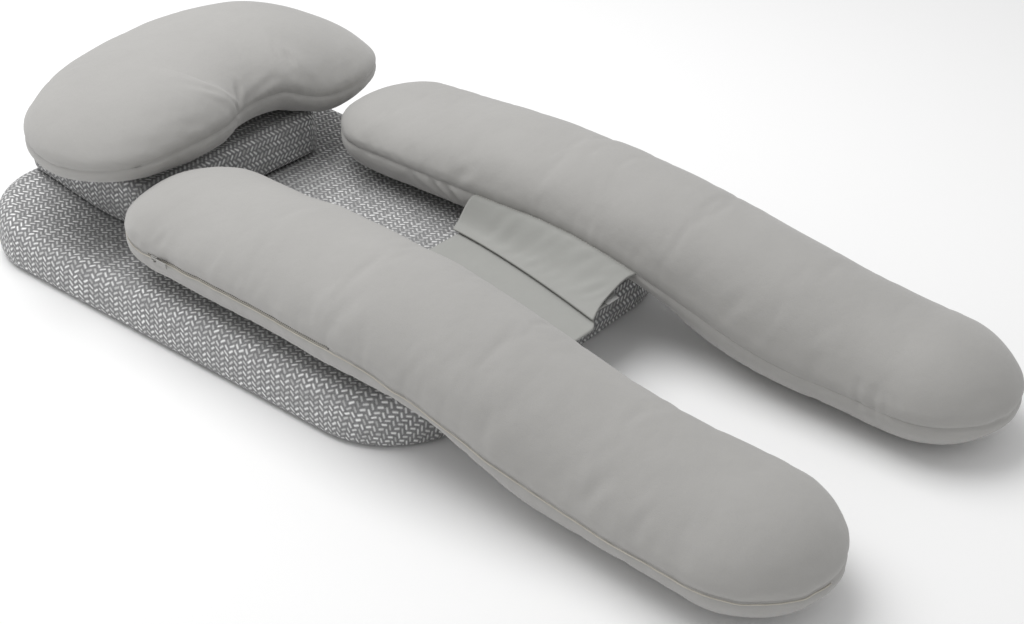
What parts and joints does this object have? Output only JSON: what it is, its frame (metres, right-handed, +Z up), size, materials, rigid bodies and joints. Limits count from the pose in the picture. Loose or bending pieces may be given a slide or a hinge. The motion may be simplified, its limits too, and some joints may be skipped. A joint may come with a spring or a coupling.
{
  "type": "nursing pillow",
  "caption": "Adult lying and nursing support set: contoured knit base, headrest block, kidney head pillow and long side bolsters joined by overlapping flaps.",
  "frame": {"origin": "centre of the base's flat underside, on the floor", "axes": "+Y towards the head end, +X to the right of someone at the foot end who looks at the head end, +Z up"},
  "size_m": [0.6558, 1.4479, 0.2804],
  "materials": {
    "herringbone_knit": "matte",
    "brushed_cloth": "matte",
    "flap_cloth": "matte",
    "foam": "matte",
    "inner_liner": "matte",
    "grip_undercloth": "matte",
    "touch_tape": "matte",
    "zip_chain": "matte",
    "zip_metal": "satin"
  },
  "bodies": {
    "base": {"base_foam_core": "foam", "base_knit_cover": "herringbone_knit", "base_grip_panel": "grip_undercloth", "base_loop_tape_left": "touch_tape", "base_loop_tape_right": "touch_tape", "base_zip_chain": "zip_chain"},
    "headrest": {"headrest_foam_core": "foam", "headrest_knit_cover": "herringbone_knit", "headrest_bottom_panel": "grip_undercloth", "headrest_hook_tape_left": "touch_tape", "headrest_hook_tape_right": "touch_tape", "headrest_zip_chain": "zip_chain"},
    "head_pillow": {"head_pillow_inner_cushion": "inner_liner", "head_pillow_upper_panel": "brushed_cloth", "head_pillow_lower_panel": "brushed_cloth", "head_pillow_zip_chain": "zip_chain"},
    "left_bolster": {"left_bolster_inner_cushion": "inner_liner", "left_bolster_upper_panel": "brushed_cloth", "left_bolster_lower_panel": "brushed_cloth", "left_bolster_zip_chain": "zip_chain", "left_flap": "flap_cloth", "left_flap_loop_tape": "touch_tape"},
    "right_bolster": {"right_bolster_inner_cushion": "inner_liner", "right_bolster_upper_panel": "brushed_cloth", "right_bolster_lower_panel": "brushed_cloth", "right_bolster_zip_chain": "zip_chain"},
    "right_flap": {"right_flap": "flap_cloth", "right_flap_hook_tape": "touch_tape"},
    "base_zip_slider": {"base_zip_slider": "zip_metal"},
    "base_zip_puller": {"base_zip_puller": "zip_metal"},
    "headrest_zip_slider": {"headrest_zip_slider": "zip_metal"},
    "headrest_zip_puller": {"headrest_zip_puller": "zip_metal"},
    "head_pillow_zip_slider": {"head_pillow_zip_slider": "zip_metal"},
    "head_pillow_zip_puller": {"head_pillow_zip_puller": "zip_metal"},
    "left_bolster_zip_slider": {"left_bolster_zip_slider": "zip_metal"},
    "left_bolster_zip_puller": {"left_bolster_zip_puller": "zip_metal"},
    "right_bolster_zip_slider": {"right_bolster_zip_slider": "zip_metal"},
    "right_bolster_zip_puller": {"right_bolster_zip_puller": "zip_metal"}
  },
  "joints": [
    {"name": "headrest_lift", "type": "slide", "parent": "base", "child": "headrest", "axis": [0, 0, 1], "range_m": [0, 0.2]},
    {"name": "head_pillow_lift", "type": "slide", "parent": "headrest", "child": "head_pillow", "axis": [0, 0, 1], "range_m": [0, 0.2]},
    {"name": "left_bolster_shift", "type": "slide", "parent": "base", "child": "left_bolster", "axis": [-1, 0, 0], "range_m": [-0.015, 0.03]},
    {"name": "right_bolster_shift", "type": "slide", "parent": "base", "child": "right_bolster", "axis": [1, 0, 0], "range_m": [-0.015, 0.03]},
    {"name": "right_flap_fold", "type": "hinge", "parent": "right_bolster", "child": "right_flap", "pos_m": [0.09596, -0.36275, 0.1273], "axis": [0.0192, 0.9998, 0], "range_deg": [0, 90]},
    {"name": "base_zip_slide", "type": "slide", "parent": "base", "child": "base_zip_slider", "axis": [1, 0, 0], "range_m": [0, 0.273]},
    {"name": "base_puller_swing", "type": "hinge", "parent": "base_zip_slider", "child": "base_zip_puller", "pos_m": [-0.138, 0.45585, 0.036], "axis": [0, 0, 1], "range_deg": [0, 150]},
    {"name": "headrest_zip_slide", "type": "slide", "parent": "headrest", "child": "headrest_zip_slider", "axis": [1, 0, 0], "range_m": [0, 0.214]},
    {"name": "headrest_puller_swing", "type": "hinge", "parent": "headrest_zip_slider", "child": "headrest_zip_puller", "pos_m": [-0.118, 0.44585, 0.10587], "axis": [0, 0, 1], "range_deg": [0, 150]},
    {"name": "head_pillow_zip_slide", "type": "hinge", "parent": "head_pillow", "child": "head_pillow_zip_slider", "pos_m": [0.035, 0.025, 0.2043], "axis": [0, 0, -1], "range_deg": [0, 41]},
    {"name": "head_pillow_puller_swing", "type": "hinge", "parent": "head_pillow_zip_slider", "child": "head_pillow_zip_puller", "pos_m": [-0.1456, 0.4165, 0.2043], "axis": [0, 0, 1], "range_deg": [0, 150]},
    {"name": "left_bolster_zip_slide", "type": "slide", "parent": "left_bolster", "child": "left_bolster_zip_slider", "axis": [-0.0227, -0.9997, 0], "range_m": [0, 0.314]},
    {"name": "left_bolster_puller_swing", "type": "hinge", "parent": "left_bolster_zip_slider", "child": "left_bolster_zip_puller", "pos_m": [-0.30498, -0.00432, 0.1373], "axis": [0, 0, -1], "range_deg": [0, 150]},
    {"name": "right_bolster_zip_slide", "type": "slide", "parent": "right_bolster", "child": "right_bolster_zip_slider", "axis": [-0.0192, -0.9998, 0], "range_m": [0, 0.314]},
    {"name": "right_bolster_puller_swing", "type": "hinge", "parent": "right_bolster_zip_slider", "child": "right_bolster_zip_puller", "pos_m": [0.33419, -0.00926, 0.1373], "axis": [0, 0, 1], "range_deg": [0, 150]}
  ]
}
